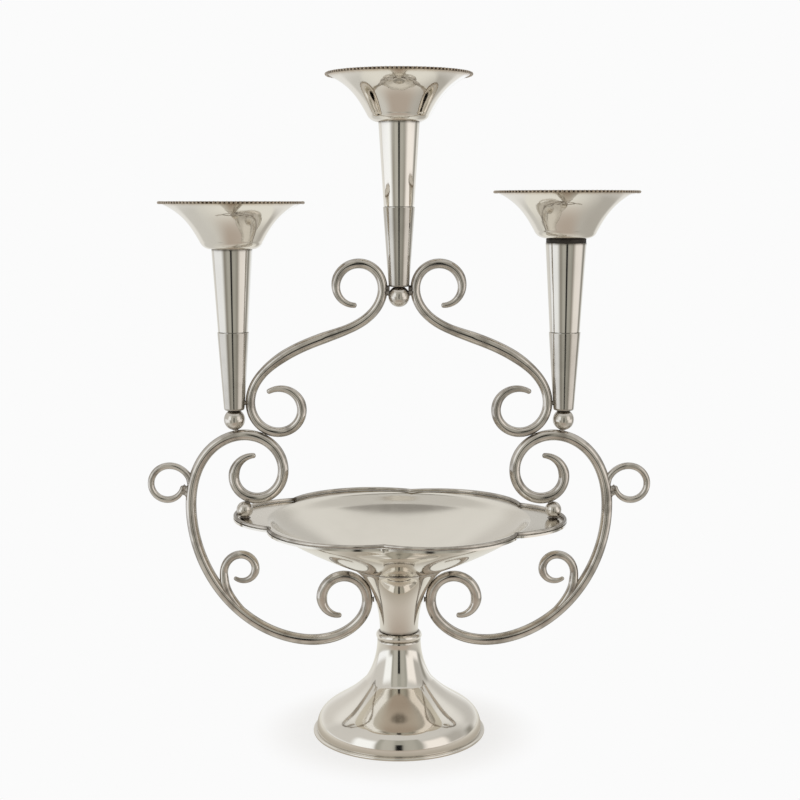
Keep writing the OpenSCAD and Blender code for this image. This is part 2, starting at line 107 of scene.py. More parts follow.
def fittedLine(line, node, radius):  # stretched to the width of its CAD node and lifted to its top
    low, high = nodeBox(node)
    reach = radius * math.cos(math.pi / 12)  # the CAD wire has twelve flat sides
    stretch = (high[0] - low[0] - 2 * reach) / np.ptp(line[:, 0])
    x = low[0] + reach + (line[:, 0] - line[:, 0].min()) * stretch
    z = line[:, 1] + high[2] - radius - line[:, 1].max()
    heading = np.arctan2(np.gradient(z), np.gradient(x))
    return np.column_stack([x, z, heading])


# meshes
sharpFrom = math.radians(48)


def linkPiece(name, data):
    piece = bpy.data.objects.new(name, data)
    bpy.context.scene.collection.objects.link(piece)
    return piece


def pointValues(mesh, name, values, kind="FLOAT"):
    layer = mesh.attributes.get(name) or mesh.attributes.new(name, kind, "POINT")
    layer.data.foreach_set("value" if kind == "FLOAT" else "vector", np.ravel(values).astype(np.float32))


def pointData(mesh, key):
    values = np.empty(len(mesh.vertices) * 3, np.float32)
    mesh.vertices.foreach_get(key, values)
    return values.reshape(-1, 3).astype(float)


def turnedMesh(name, outline, turns, middle=0.0, lift=0.0):  # a closed outline spun about its axis
    angle = np.radians(np.arange(turns) * 360 / turns)
    places, rows, along = [], [], []
    for (r, z), s in zip(outline, travelled(outline)):
        first = len(places)
        spread = 1 if r < 0.01 else turns
        rows.append([first] * turns if spread == 1 else list(range(first, first + turns)))
        places += [(middle + r * math.cos(a), r * math.sin(a), z + lift) for a in angle[:spread]]
        along += [s * mm] * spread
    faces = []
    for a, b in zip(rows, rows[1:] + rows[:1]):
        for k in range(turns):
            n = (k + 1) % turns
            corners = list(dict.fromkeys([a[k], a[n], b[n], b[k]]))
            if len(corners) > 2:
                faces.append(corners)
    mesh = bpy.data.meshes.new(name)
    mesh.from_pydata([Vector(p) * mm for p in places], [], faces)
    pointValues(mesh, "along", along)
    work = bmesh.new()
    work.from_mesh(mesh)
    bmesh.ops.recalc_face_normals(work, faces=work.faces)
    work.to_mesh(mesh)
    work.free()
    mesh.polygons.foreach_set("use_smooth", [True] * len(mesh.polygons))
    mesh.set_sharp_from_angle(angle=sharpFrom)
    return mesh


def lineMesh(name, lines, radii):  # wire centre lines in space, with the wire's radius at each point
    places, edges, width, along = [], [], [], []
    for line, radius in zip(lines, radii):
        first = len(places)
        places += [Vector(p) * mm for p in line]
        edges += [(first + i, first + i + 1) for i in range(len(line) - 1)]
        along += list(travelled(line) * mm)
        width += list(radius * mm)
    mesh = bpy.data.meshes.new(name)
    mesh.from_pydata(places, edges, [])
    pointValues(mesh, "wireRadius", width)
    pointValues(mesh, "along", along)
    return mesh


def paintShadeAndTarnish(piece, reach, spots=(), rings=(), middle=0.0, strength=1.0):  # painted shade and tarnish, dark where pieces meet
    place = pointData(piece.data, "co") / mm
    around = np.hypot(place[:, 0] - middle, place[:, 1])
    apart = [np.linalg.norm(place - np.array(spot), axis=1) for spot in spots]
    apart += [np.hypot(around - r, place[:, 2] - z) for r, z in rings]
    depth = np.exp(-((np.min(apart, axis=0) / reach) ** 2))
    pointValues(piece.data, "crevice", depth * strength)


def finishPiece(piece, plate, *nodes, body="frame", slot="silver_plate"):
    piece.data.materials.clear()
    piece.data.materials.append(materials[plate])
    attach(piece, body)
    if nodes:
        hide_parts(*nodes)


def turnedPart(name, node, draw, look, plate="silverPlate", at=(0.0, 0.0), spots=(), body="frame"):
    piece = linkPiece(name, turnedMesh(name, draw(look), look["turns"], *at))
    rings = [(r, at[1] + z) for r, z in look["shadeTarnishAt"]]
    paintShadeAndTarnish(piece, look["shadeTarnishReach"], spots, rings, at[0], look.get("shadeTarnishAmount", 1.0))
    finishPiece(piece, plate, node, body=body)


# node trees
def addNode(tree, kind, inputs=None, **settings):
    made = tree.nodes.new(kind)
    for key, value in settings.items():
        setattr(made, key, value)
    for key, value in (inputs or {}).items():
        if isinstance(value, bpy.types.NodeSocket):
            tree.links.new(value, made.inputs[key])
        else:
            made.inputs[key].default_value = value
    return made


def grow(tree, kind, inputs=None, **settings):
    return addNode(tree, kind, inputs, **settings).outputs[0]


def calc(tree, operation, *values):
    return grow(tree, "ShaderNodeMath", dict(enumerate(values)), operation=operation)


def times(tree, a, b):
    return calc(tree, "MULTIPLY", a, b)


def timesPlus(tree, a, b, c):
    return calc(tree, "MULTIPLY_ADD", a, b, c)


def lengthOf(tree, x, y):
    return calc(tree, "SQRT", timesPlus(tree, x, x, times(tree, y, y)))


def ramp(tree, value, low, high, start=0.0, end=1.0, kind="SMOOTHSTEP"):
    inputs = {"Value": value, "From Min": low, "From Max": high, "To Min": start, "To Max": end}
    return grow(tree, "ShaderNodeMapRange", inputs, interpolation_type=kind, clamp=True)


def blendColour(tree, factor, a, b):
    return addNode(tree, "ShaderNodeMix", {0: factor, 6: a, 7: b}, data_type="RGBA").outputs[2]


def mixShaders(tree, factor, a, b):
    return grow(tree, "ShaderNodeMixShader", {0: factor, 1: a, 2: b})


def noise(tree, vector, scale, detail=3.0, distortion=0.0):
    inputs = {"Vector": vector, "Scale": scale, "Detail": detail, "Distortion": distortion}
    return grow(tree, "ShaderNodeTexNoise", inputs)


def newTree(name, kind, inputs, outputs):
    tree = bpy.data.node_groups.new(name, kind)
    for label, socket, start in inputs:
        made = tree.interface.new_socket(label, in_out="INPUT", socket_type="NodeSocket" + socket)
        if start is not None:
            made.default_value = start
    for label, socket in outputs:
        tree.interface.new_socket(label, in_out="OUTPUT", socket_type="NodeSocket" + socket)
    return tree, addNode(tree, "NodeGroupInput").outputs, addNode(tree, "NodeGroupOutput").inputs


def shapeTree(name, *inputs):
    inputs = [("Geometry", "Geometry", None), *inputs, ("Material", "Material", None)]
    return newTree(name, "GeometryNodeTree", inputs, [("Geometry", "Geometry")])


def endTree(tree, geometry, given, out):
    whole = grow(tree, "GeometryNodeRealizeInstances", {"Geometry": geometry})
    dressed = addNode(tree, "GeometryNodeSetMaterial", {"Geometry": whole, "Material": given["Material"]})
    tree.links.new(dressed.outputs[0], out["Geometry"])
    return tree


def smoothed(tree, geometry):
    return grow(tree, "GeometryNodeSetShadeSmooth", {"Geometry": geometry})


def readValue(tree, name, kind="FLOAT"):
    return grow(tree, "GeometryNodeInputNamedAttribute", {"Name": name}, data_type=kind)


def storeValue(tree, geometry, name, value, kind="FLOAT"):
    inputs = {"Geometry": geometry, "Name": name, "Value": value}
    return grow(tree, "GeometryNodeStoreNamedAttribute", inputs, data_type=kind, domain="POINT")


def circleCurve(tree, sides, radius):
    return grow(tree, "GeometryNodeCurvePrimitiveCircle", {"Resolution": sides, "Radius": radius})


def sweptCurve(tree, line, section, scale, caps=True):
    inputs = {"Curve": line, "Profile Curve": section, "Scale": scale, "Fill Caps": caps}
    return grow(tree, "GeometryNodeCurveToMesh", inputs)


def grownPiece(name, mesh, tree, plate, values):  # runs a tree on a mesh and keeps a plain mesh
    piece = linkPiece(name, mesh)
    modifier = piece.modifiers.new("grow", "NODES")
    modifier.node_group = tree
    identifiers = {s.name: s.identifier for s in tree.interface.items_tree if s.in_out == "INPUT"}
    for label, value in {**values, "Material": materials[plate]}.items():
        modifier[identifiers[label]] = value
    evaluated = piece.evaluated_get(bpy.context.evaluated_depsgraph_get())
    grown = bpy.data.meshes.new_from_object(evaluated)
    piece.modifiers.remove(modifier)
    piece.data = grown
    grown.name = name
    return piece


def wireTree():
    tree, given, out = shapeTree("scrollWire", ("Sides", "Int", 24))
    line = grow(tree, "GeometryNodeMeshToCurve", {"Mesh": given["Geometry"]})
    place = grow(tree, "GeometryNodeInputPosition")
    section = storeValue(tree, circleCurve(tree, given["Sides"], 1.0), "around", place, "FLOAT_VECTOR")
    wire = sweptCurve(tree, line, section, readValue(tree, "wireRadius"))
    return endTree(tree, smoothed(tree, wire), given, out)


def beadTree():
    tree, given, out = shapeTree(
        "beadRim", ("Centre", "Vector", (0, 0, 0)), ("Rim Radius", "Float", 0.04), ("Seed", "Int", 1),
        ("Bead Radius", "Float", 0.0008), ("Band Radius", "Float", 0.0007), ("Beads", "Int", 108),
        ("Least", "Float", 0.93), ("Most", "Float", 1.03), ("Longest", "Float", 1.28),
    )
    posts = circleCurve(tree, given["Beads"], given["Rim Radius"])
    posts = addNode(tree, "GeometryNodeCurveToPoints", {"Curve": posts}, mode="EVALUATED").outputs
    bead = grow(tree, "GeometryNodeMeshIcoSphere", {"Radius": given["Bead Radius"], "Subdivisions": 2})
    bead = storeValue(tree, bead, "crevice", 0.0)
    size = {2: given["Least"], 3: given["Most"], "Seed": given["Seed"]}
    size = addNode(tree, "FunctionNodeRandomValue", size, data_type="FLOAT").outputs[1]
    stretch = grow(tree, "ShaderNodeCombineXYZ", {0: size, 1: size, 2: given["Longest"]})
    inputs = {"Points": posts["Points"], "Instance": bead, "Rotation": posts["Rotation"], "Scale": stretch}
    beads = grow(tree, "GeometryNodeInstanceOnPoints", inputs)
    ring = circleCurve(tree, 192, given["Rim Radius"])
    band = sweptCurve(tree, ring, circleCurve(tree, 12, given["Band Radius"]), 1.0, False)
    joined = addNode(tree, "GeometryNodeJoinGeometry")
    # the band under the beads is stored fully dark: painted shade between the beads
    for part in (beads, storeValue(tree, band, "crevice", 1.0)):
        tree.links.new(part, joined.inputs[0])
    inputs = {"Geometry": smoothed(tree, joined.outputs[0]), "Translation": given["Centre"]}
    return endTree(tree, grow(tree, "GeometryNodeTransform", inputs), given, out)


def lobeTree():  # draws the flange of a turned dish in or out to its lobes
    tree, given, out = shapeTree(
        "lobedFlange", ("Lobes", "Int", 6), ("Turn", "Float", 0.0), ("Side Centre", "Float", 0.04),
        ("Side Radius", "Float", 0.05), ("Side Lean", "Float", 0.0), ("End Centre", "Float", 0.05),
        ("End Radius", "Float", 0.04), ("Bowl Radius", "Float", 0.08), ("Flange Radius", "Float", 0.1),
    )
    place = grow(tree, "GeometryNodeInputPosition")
    x, y, z = addNode(tree, "ShaderNodeSeparateXYZ", {0: place}).outputs
    radius = lengthOf(tree, x, y)
    half = calc(tree, "DIVIDE", math.pi, given["Lobes"])
    swing = calc(tree, "SUBTRACT", calc(tree, "ARCTAN2", y, x), given["Turn"])
    ahead = calc(tree, "ABSOLUTE", calc(tree, "COSINE", swing))
    isEnd = calc(tree, "GREATER_THAN", ahead, calc(tree, "COSINE", half))
    hand = calc(tree, "SIGN", calc(tree, "SINE", times(tree, swing, 2.0)))
    swing = times(tree, calc(tree, "WRAP", swing, half, times(tree, half, -1.0)), hand)
    swing = calc(tree, "SUBTRACT", swing, ramp(tree, isEnd, 0.0, 1.0, given["Side Lean"], 0.0, "LINEAR"))
    centre = ramp(tree, isEnd, 0.0, 1.0, given["Side Centre"], given["End Centre"], "LINEAR")
    curveRadius = ramp(tree, isEnd, 0.0, 1.0, given["Side Radius"], given["End Radius"], "LINEAR")
    across = times(tree, centre, calc(tree, "SINE", swing))
    square = times(tree, curveRadius, curveRadius)
    bulge = calc(tree, "SQRT", calc(tree, "SUBTRACT", square, times(tree, across, across)))
    reach = timesPlus(tree, centre, calc(tree, "COSINE", swing), bulge)
    share = ramp(tree, radius, given["Bowl Radius"], given["Flange Radius"], kind="LINEAR")
    flange = calc(tree, "SUBTRACT", reach, given["Bowl Radius"])
    drawn = timesPlus(tree, share, flange, calc(tree, "MINIMUM", radius, given["Bowl Radius"]))
    scale = calc(tree, "DIVIDE", drawn, calc(tree, "MAXIMUM", radius, 1e-6))
    spot = {0: times(tree, x, scale), 1: times(tree, y, scale), 2: z}
    inputs = {"Geometry": given["Geometry"], "Position": grow(tree, "ShaderNodeCombineXYZ", spot)}
    return endTree(tree, grow(tree, "GeometryNodeSetPosition", inputs), given, out)


def solderTree():  # a small waisted fillet on every contact
    tree, given, out = shapeTree("solderFillet", ("Waist", "Float", 0.62), ("Sides", "Int", 20))
    line = grow(tree, "GeometryNodeCurvePrimitiveLine", {"Start": (0, 0, -0.5), "End": (0, 0, 0.5)})
    line = grow(tree, "GeometryNodeResampleCurve", {"Curve": line, "Count": 9})
    spread = addNode(tree, "GeometryNodeSplineParameter").outputs["Factor"]
    spread = timesPlus(tree, spread, 2.0, -1.0)
    swell = calc(tree, "SUBTRACT", 1.0, given["Waist"])
    width = timesPlus(tree, times(tree, spread, spread), swell, given["Waist"])
    fillet = smoothed(tree, sweptCurve(tree, line, circleCurve(tree, given["Sides"], 1.0), width))
    axis = readValue(tree, "axis", "FLOAT_VECTOR")
    turn = grow(tree, "FunctionNodeAlignRotationToVector", {"Vector": axis}, axis="Z")
    inputs = {
        "Points": grow(tree, "GeometryNodeMeshToPoints", {"Mesh": given["Geometry"]}), "Instance": fillet,
        "Rotation": turn, "Scale": readValue(tree, "size", "FLOAT_VECTOR"),
    }
    return endTree(tree, grow(tree, "GeometryNodeInstanceOnPoints", inputs), given, out)


scrollWire, beadRim, lobedFlange, solderFillet = wireTree(), beadTree(), lobeTree(), solderTree()
print("shape trees made")


# finishes
def tarnishAndShadeGroup():
    inputs = [
        ("Vector", "Vector", None), ("Scale", "Float", 40.0), ("Clean", "Color", None),
        ("Film", "Color", None), ("Amount", "Float", 0.3), ("Crevice", "Float", 0.0),
    ]
    outputs = [("Color", "Color"), ("Film", "Float")]
    tree, given, out = newTree("tarnishAndShadeFilm", "ShaderNodeTree", inputs, outputs)
    patch = noise(tree, given["Vector"], given["Scale"], 5.0, 0.5)
    fine = noise(tree, given["Vector"], times(tree, given["Scale"], 9.0), 3.0)
    cloudy = times(tree, ramp(tree, patch, 0.40, 0.74), given["Amount"])
    # the crevice part is painted shade as well as tarnish
    sunk = times(tree, given["Crevice"], ramp(tree, fine, 0.25, 0.65, 0.7, 1.0))
    filmAndShade = calc(tree, "MINIMUM", calc(tree, "ADD", cloudy, sunk), 1.0)
    tree.links.new(blendColour(tree, filmAndShade, given["Clean"], given["Film"]), out["Color"])
    tree.links.new(filmAndShade, out["Film"])
    return tree


def polishGroup():
    inputs = [
        ("Vector", "Vector", None), ("Lines", "Vector", None), ("Scale", "Float", 60.0),
        ("Smooth", "Float", 0.06), ("Worn", "Float", 0.16), ("Film", "Float", 0.0),
    ]
    outputs = [("Roughness", "Float"), ("Height", "Float")]
    tree, given, out = newTree("polishMarks", "ShaderNodeTree", inputs, outputs)
    smudge = noise(tree, given["Vector"], given["Scale"], 4.0, 0.8)
    lines = noise(tree, given["Lines"], 1.0, 2.0)
    hair = None
    for turn in (0.4, 1.5, 2.6):
        spin = (turn, turn * 0.7, turn * 1.3)
        inputs = {"Vector": given["Vector"], "Rotation": spin, "Scale": (1.0, 16.0, 16.0)}
        along = grow(tree, "ShaderNodeMapping", inputs)
        mark = ramp(tree, noise(tree, along, times(tree, given["Scale"], 3.0), 2.0), 0.68, 0.74)
        hair = mark if hair is None else calc(tree, "MAXIMUM", hair, mark)
    spread = calc(tree, "SUBTRACT", given["Worn"], given["Smooth"])
    share = timesPlus(tree, ramp(tree, lines, 0.4, 0.7), 0.35, ramp(tree, smudge, 0.35, 0.75))
    share = timesPlus(tree, hair, 0.5, share)
    worn = timesPlus(tree, share, spread, given["Smooth"])
    worn = timesPlus(tree, given["Film"], 0.2, worn)
    tree.links.new(calc(tree, "MINIMUM", worn, 0.9), out["Roughness"])
    dent = noise(tree, given["Vector"], times(tree, given["Scale"], 0.6), 1.0)
    height = timesPlus(tree, lines, 0.02, dent)
    tree.links.new(timesPlus(tree, hair, -0.03, height), out["Height"])
    return tree


def newMaterial(name):
    material = bpy.data.materials.new(name)
    material.use_nodes = True
    return material, material.node_tree, material.node_tree.nodes["Principled BSDF"]


def platedMaterial(name, look):
    material, tree, shader = newMaterial(name)
    shader.inputs["Metallic"].default_value = look["metallic"]
    where = addNode(tree, "ShaderNodeTexCoord").outputs["Object"]
    names = {"crevice": "Fac", "along": "Fac", "around": "Vector", "satin": "Fac"}
    sunk, along, around, satin = (
        addNode(tree, "ShaderNodeAttribute", attribute_name=key).outputs[kind] for key, kind in names.items()
    )
    run = grow(tree, "ShaderNodeCombineXYZ", {2: times(tree, along, look["lineRun"])})
    inputs = {0: around, 1: (look["lineCross"],) * 3, 2: run}
    lines = grow(tree, "ShaderNodeVectorMath", inputs, operation="MULTIPLY_ADD")
    filmAndShade = {
        "Vector": where, "Scale": look["filmScale"], "Clean": (*look["clean"], 1), "Film": (*look["filmAndShade"], 1),
        "Amount": look["filmAmount"], "Crevice": times(tree, sunk, look["creviceAmount"]),
    }
    filmAndShade = addNode(tree, "ShaderNodeGroup", filmAndShade, node_tree=tarnishAndShadeFilm).outputs
    marks = {
        "Vector": where, "Lines": lines, "Scale": look["markScale"], "Film": filmAndShade["Film"],
        "Smooth": timesPlus(tree, satin, look["satin"], look["smooth"]),
        "Worn": timesPlus(tree, satin, look["satin"], look["worn"]),
    }
    marks = addNode(tree, "ShaderNodeGroup", marks, node_tree=polishMarks).outputs
    bump = {"Strength": look["bump"], "Distance": look["bumpDepth"] * mm, "Height": marks["Height"]}
    bump = grow(tree, "ShaderNodeBump", bump)
    # painted shade: the colour darkens towards the film colour where the surface turns edge-on to the view
    facing = addNode(tree, "ShaderNodeLayerWeight", {"Blend": 0.5}).outputs["Facing"]
    paintedEdgeShade = ramp(tree, facing, 0.25, 0.85, 0.0, look["edgeShade"])
    tree.links.new(blendColour(tree, paintedEdgeShade, filmAndShade["Color"], (*look["filmAndShade"], 1)), shader.inputs["Base Color"])
    tree.links.new(marks["Roughness"], shader.inputs["Roughness"])
    tree.links.new(bump, shader.inputs["Normal"])
    return material


tarnishAndShadeFilm, polishMarks = tarnishAndShadeGroup(), polishGroup()

plateLook = {
    "clean": (0.88, 0.845, 0.785), "filmAndShade": (0.10, 0.08, 0.06), "filmScale": 38.0, "filmAmount": 0.05,
    "creviceAmount": 0.9, "edgeShade": 0.0, "markScale": 70.0, "smooth": 0.045, "worn": 0.08, "satin": 0.0,
    "lineRun": 2600.0, "lineCross": 0.0, "bump": 0.2, "bumpDepth": 0.12, "metallic": 1.0,
}
looks = {
    "silverPlate": plateLook,
    # the bells' brown film colour stands for tarnish and for the painted shadow of the bead rim
    "bellPlate": {**plateLook, "filmAndShade": (0.45, 0.34, 0.22), "bump": 0.12},
    "sidePlate": {**plateLook, "clean": (0.75, 0.72, 0.665)},
    "socketPlate": {
        **plateLook, "clean": (0.63, 0.60, 0.55), "filmAmount": 0.15, "filmScale": 60.0, "smooth": 0.07,
        "worn": 0.13, "bump": 0.3,
    },
    "ballSilver": {**plateLook, "clean": (0.76, 0.72, 0.66), "edgeShade": 0.4, "smooth": 0.12, "worn": 0.20},
    "scrollSilver": {
        **plateLook, "clean": (0.73, 0.69, 0.635), "filmAmount": 0.48, "filmScale": 90.0, "edgeShade": 0.8,
        "smooth": 0.06, "worn": 0.12, "lineRun": 60.0, "lineCross": 9.0, "bump": 0.4,
    },
    "dishPlate": {
        **plateLook, "clean": (0.80, 0.765, 0.70), "filmScale": 20.0, "smooth": 0.06, "worn": 0.10,
        "satin": 0.07, "lineRun": 1200.0, "bump": 0.1,
    },
    "rimSilver": {
        **plateLook, "clean": (0.50, 0.42, 0.33), "filmAndShade": (0.07, 0.045, 0.025), "filmAmount": 0.35,
        "filmScale": 120.0, "smooth": 0.10, "worn": 0.18,
    },
    "solderGrey": {
        **plateLook, "clean": (0.56, 0.525, 0.475), "filmAndShade": (0.06, 0.05, 0.04), "filmAmount": 0.5,
        "filmScale": 300.0, "smooth": 0.36, "worn": 0.55, "bump": 0.8,
    },
    "innerPlate": {
        **plateLook, "clean": (0.42, 0.37, 0.29), "filmAmount": 0.6, "smooth": 0.40, "worn": 0.60,
        "creviceAmount": 0.0,
    },
    "packingDark": {
        **plateLook, "clean": (0.05, 0.043, 0.036), "filmAndShade": (0.015, 0.012, 0.01), "filmAmount": 0.6,
        "filmScale": 200.0, "metallic": 0.4, "smooth": 0.45, "worn": 0.65,
    },
}
materials = {name: platedMaterial(name, look) for name, look in looks.items()}
print("finishes made:", len(materials))

# foot, rim ring, collar and stem; painted shade and tarnish lie round rings of (radius, height)
footLook = {
    "neckRadius": 12.7, "edge": (48.5, 1.9), "top": 56.0, "wall": 1.2, "shoulder": (0.208, 0.545),
    "throatPull": (0.56, 0.045), "domePull": (0.57, 0.51), "turns": 192,
    "shadeTarnishAt": [(12.7, 56.0), (48.6, 1.9)], "shadeTarnishReach": 0.5, "shadeTarnishAmount": 0.4,
}


def footOutline(look):
    edge = np.array(look["edge"])
    neck = np.array([look["neckRadius"], look["top"]])
    across, up = look["shoulder"]
    shoulder = np.array([neck[0] + across * (edge[0] - neck[0]), edge[1] + up * (neck[1] - edge[1])])
    dome = edge - shoulder
    upper, lower = look["throatPull"]
    pull = (neck[0], neck[1] + upper * (shoulder[1] - neck[1]))
    throat = bezier(neck, pull, shoulder - lower * dome, shoulder, 40)
    upper, lower = look["domePull"]
    swell = bezier(shoulder, shoulder + upper * dome, (edge[0], edge[1] - lower * dome[1]), edge, 60)
    return sheetOutline(np.vstack([throat, swell[1:]]), look["wall"])


turnedPart("foot_shell", "foot", footOutline, footLook)

ringLook = {
    "inner": 46.5, "outer": 50.5, "height": 1.8, "fold": (48.0, 2.5), "turns": 192,
    "fillet": ((0.56, 0), (0.21, 0.02), (0.06, 0.2), (0.01, 0.7)),  # out from the fold, above the ring
    "shadeTarnishAt": [(48.2, 2.4)], "shadeTarnishReach": 0.8, "shadeTarnishAmount": 0.4,
}


def ringOutline(look):
    tall = look["height"]
    edge = arcPoints((look["outer"] - tall / 2, tall / 2), tall / 2, -90, 90, 14)
    fillet = bezier(*(np.array(look["fillet"]) + (look["fold"][0], tall)), 6)
    return np.vstack([[(look["inner"], 0.0)], edge, fillet, [look["fold"], (look["inner"], tall)]])


turnedPart("foot_ring", "foot_rim_ring", ringOutline, ringLook)

collarLook = {
    "outer": 13.4, "bottom": 56.1, "height": 4.6, "inner": 7.0, "flat": 11.0, "sweep": 84,
    "turns": 160, "shadeTarnishAt": [(11.4, 60.7)], "shadeTarnishReach": 0.6,
}


def collarOutline(look):
    half = look["height"] / 2
    inner, flat, low, high = look["inner"], look["flat"], look["bottom"], look["bottom"] + look["height"]
    bead = arcPoints((look["outer"] - half, low + half), half, -look["sweep"], look["sweep"], 28)
    return np.vstack([[(inner, low), (flat, low)], bead, [(flat, high), (inner, high)]])


turnedPart("collar_bead", "collar", collarOutline, collarLook)

stemLook = {
    "radius": 11.2, "bottom": 60.8, "height": 39.3, "topRadius": 29.0, "wall": 1.2,
    "flare": (0.34, 0.87, 0.42), "past": (2, 1), "cut": 0.2, "turns": 160,
    "shadeTarnishAt": [(11.3, 60.8), (29.0, 100.0)], "shadeTarnishReach": 1.1,
}


def stemOutline(look):  # drawn a little past the dish and cut off below it
    r, low, tall, wide = (look[key] for key in ("radius", "bottom", "height", "topRadius"))
    across, upper, lower = look["flare"]
    pulls = (r + across * (wide - r), low + tall * upper), (r, low + tall * lower)
    line = bezier(np.array(look["past"]) + (wide, low + tall), *pulls, (r, low), 90)
    return sheetOutline(line[line[:, 1] <= low + tall - look["cut"]], look["wall"])


turnedPart("stem_flare", "stem", stemOutline, stemLook)
print("column made")

# dish with its lobes and rim wire
dishLook = {
    "lobes": 6, "turn": -6.0, "endReach": 97.0, "sideReach": 86.0, "endNotch": 81.0, "sideNotch": 76.0,
    "bowlRadius": 77.0, "flangeRadius": 100.0, "floorRadius": 29.0, "bottom": 100.2, "flange": 127.0,
    "wall": 1.2, "lip": (0.9, 0.22), "lipPull": (0.3, 0.5), "bowlPull": (0.2, 0.44, 0.378, 0.24),
    "satinSlope": 4, "wireRadius": 1.0, "wireGap": 0.1, "wireOverlap": 0.008, "wireSides": 16,
    "wireSteps": 72, "turns": 360, "shadeTarnishAt": [(29.0, 100.2)], "shadeTarnishReach": 1.5, "notchShadeTarnish": 2.0,
}


def lobeCircle(look, reach, first, last):  # the circle through both notches and the far point of a lobe
    half = math.pi / look["lobes"]
    spots = np.array([(first, -half), (reach, 0), (last, half)])
    spots = np.column_stack([spots[:, 0] * np.cos(spots[:, 1]), spots[:, 0] * np.sin(spots[:, 1])])
    squares = (spots**2).sum(axis=1)
    x, y = np.linalg.solve(2 * (spots[1:] - spots[0]), squares[1:] - squares[0])
    return math.hypot(x, y), math.dist((x, y), (reach, 0)), math.atan2(y, x)


def dishOutline(look):
    wide, low, high, floorWide = (look[key] for key in ("bowlRadius", "bottom", "flange", "floorRadius"))
    deep = high - low
    edge = np.array([wide * look["lip"][0], high - deep * look["lip"][1]])
    turn = np.array([wide, high]) - edge
    span = edge[0] - floorWide
    flange = np.linspace((look["flangeRadius"], high), (wide + 0.6, high), 10)
    upper, lower = look["lipPull"]
    lip = bezier((wide, high), (wide - upper * turn[0], high), edge + lower * turn, edge, 12)
    across, down, out, up = look["bowlPull"]
    pulls = (edge[0] - across * span, high - deep * down), (floorWide + out * span, low + deep * up)
    bowl = bezier(edge, *pulls, (floorWide, low), 34)
    floor = np.linspace((floorWide - 1.5, low), (0.8, low), 9)
    outer = np.vstack([flange, lip, bowl[1:], floor])
    inner = innerSide(outer, look["wall"])[1]
    return np.vstack([outer, [(0, low), (0, low + look["wall"])], inner])


endLobe = lobeCircle(dishLook, dishLook["endReach"], dishLook["endNotch"], dishLook["endNotch"])
sideLobe = lobeCircle(dishLook, dishLook["sideReach"], dishLook["endNotch"], dishLook["sideNotch"])
dishValues = {
    "Lobes": dishLook["lobes"], "Turn": math.radians(dishLook["turn"]), "Side Centre": sideLobe[0] * mm,
    "Side Radius": sideLobe[1] * mm, "Side Lean": sideLobe[2], "End Centre": endLobe[0] * mm,
    "End Radius": endLobe[1] * mm, "Bowl Radius": dishLook["bowlRadius"] * mm,
    "Flange Radius": dishLook["flangeRadius"] * mm,
}
dishMesh = turnedMesh("dish_bowl", dishOutline(dishLook), dishLook["turns"])
dish = grownPiece("dish_bowl", dishMesh, lobedFlange, "dishPlate", dishValues)
paintShadeAndTarnish(dish, dishLook["shadeTarnishReach"], rings=dishLook["shadeTarnishAt"])
upward = pointData(dish.data, "normal")[:, 2]
pointValues(dish.data, "satin", np.clip(upward * dishLook["satinSlope"], 0, 1))
finishPiece(dish, "dishPlate", "dish", slot="dish_plate")


def lobeWires(look):
    half = math.pi / look["lobes"] + look["wireOverlap"]
    height = look["flange"] + look["wall"] + look["wireGap"] + look["wireRadius"]
    swing = np.linspace(-half, half, look["wireSteps"])
    lines = []
    for i in range(look["lobes"]):
        place = i % (look["lobes"] // 2)
        centre, radius, lean = sideLobe if place else endLobe
        across = centre * np.sin(swing - lean)
        reach = centre * np.cos(swing - lean) + np.sqrt((radius - look["wireRadius"]) ** 2 - across**2)
        hand = 1 if place < 2 else -1
        turn = math.radians(look["turn"] + i * 360 / look["lobes"]) + hand * swing
        wire = [reach * np.cos(turn), reach * np.sin(turn), np.full(len(turn), height)]
        lines.append(np.column_stack(wire))
    return lines


wires = lobeWires(dishLook)
wireMesh = lineMesh("dish_wire", wires, [np.full(len(w), dishLook["wireRadius"]) for w in wires])
dishWire = grownPiece("dish_wire", wireMesh, scrollWire, "scrollSilver", {"Sides": dishLook["wireSides"]})
paintShadeAndTarnish(dishWire, dishLook["notchShadeTarnish"], [w[0] for w in wires])
finishPiece(dishWire, "scrollSilver", "dish_rim_wire")
print("dish made")

# wire arms, arch, inner scrolls and finger loops; the left side mirrors the right
armLook = {
    "start": (84, 164), "heading": -2, "lengths": [24, 35, 35, 31, 35, 47, 55, 39, 27, 27, 24],
    "bends": [-12, -12.5, -17.5, -24.5, -35, -85, -85, -65, -31, -13.5, -13.5, -9], "radius": 3.15,
    "tip": 1.5, "taper": 16, "sides": 28,
}
archLook = {
    "start": (26, 251.5), "heading": 0, "lengths": [25, 25, 25, 29, 36, 27, 25, 25, 22],
    "bends": [10, 13, 13.5, 28, -340, -60, -19, -14.5, -12, -13.5], "radius": 2.8, "swell": 3.3,
    "swellAt": [92, 106, 132, 146], "tip": 1.5, "taper": 22, "sides": 28,
}
sprigLook = {
    "at": 214, "lead": 20, "leave": -115, "lengths": [13, 16, 16, 14], "bends": [-7, 13.5, 9, 7.5, 7.5],
    "radius": 2.4, "root": 1.15, "tip": 1.2, "taper": 14, "sides": 24,
}
loopLook = {
    "at": 145, "lead": 10, "leave": 156.8, "lengths": [12, 12, 12, 12, 15],
    "bends": [-18.5, -13.1, -10.9, -9.9, -9.2, -9.1], "radius": 1.94, "root": 1.15, "tip": 1.5, "taper": 10,
    "sides": 24,
}
tipLook = {"steps": (0.3, 0.55, 0.72, 0.8), "length": 0.82}
branchLook = {"crotch": 3, "rootRun": 6}  # points along the wire


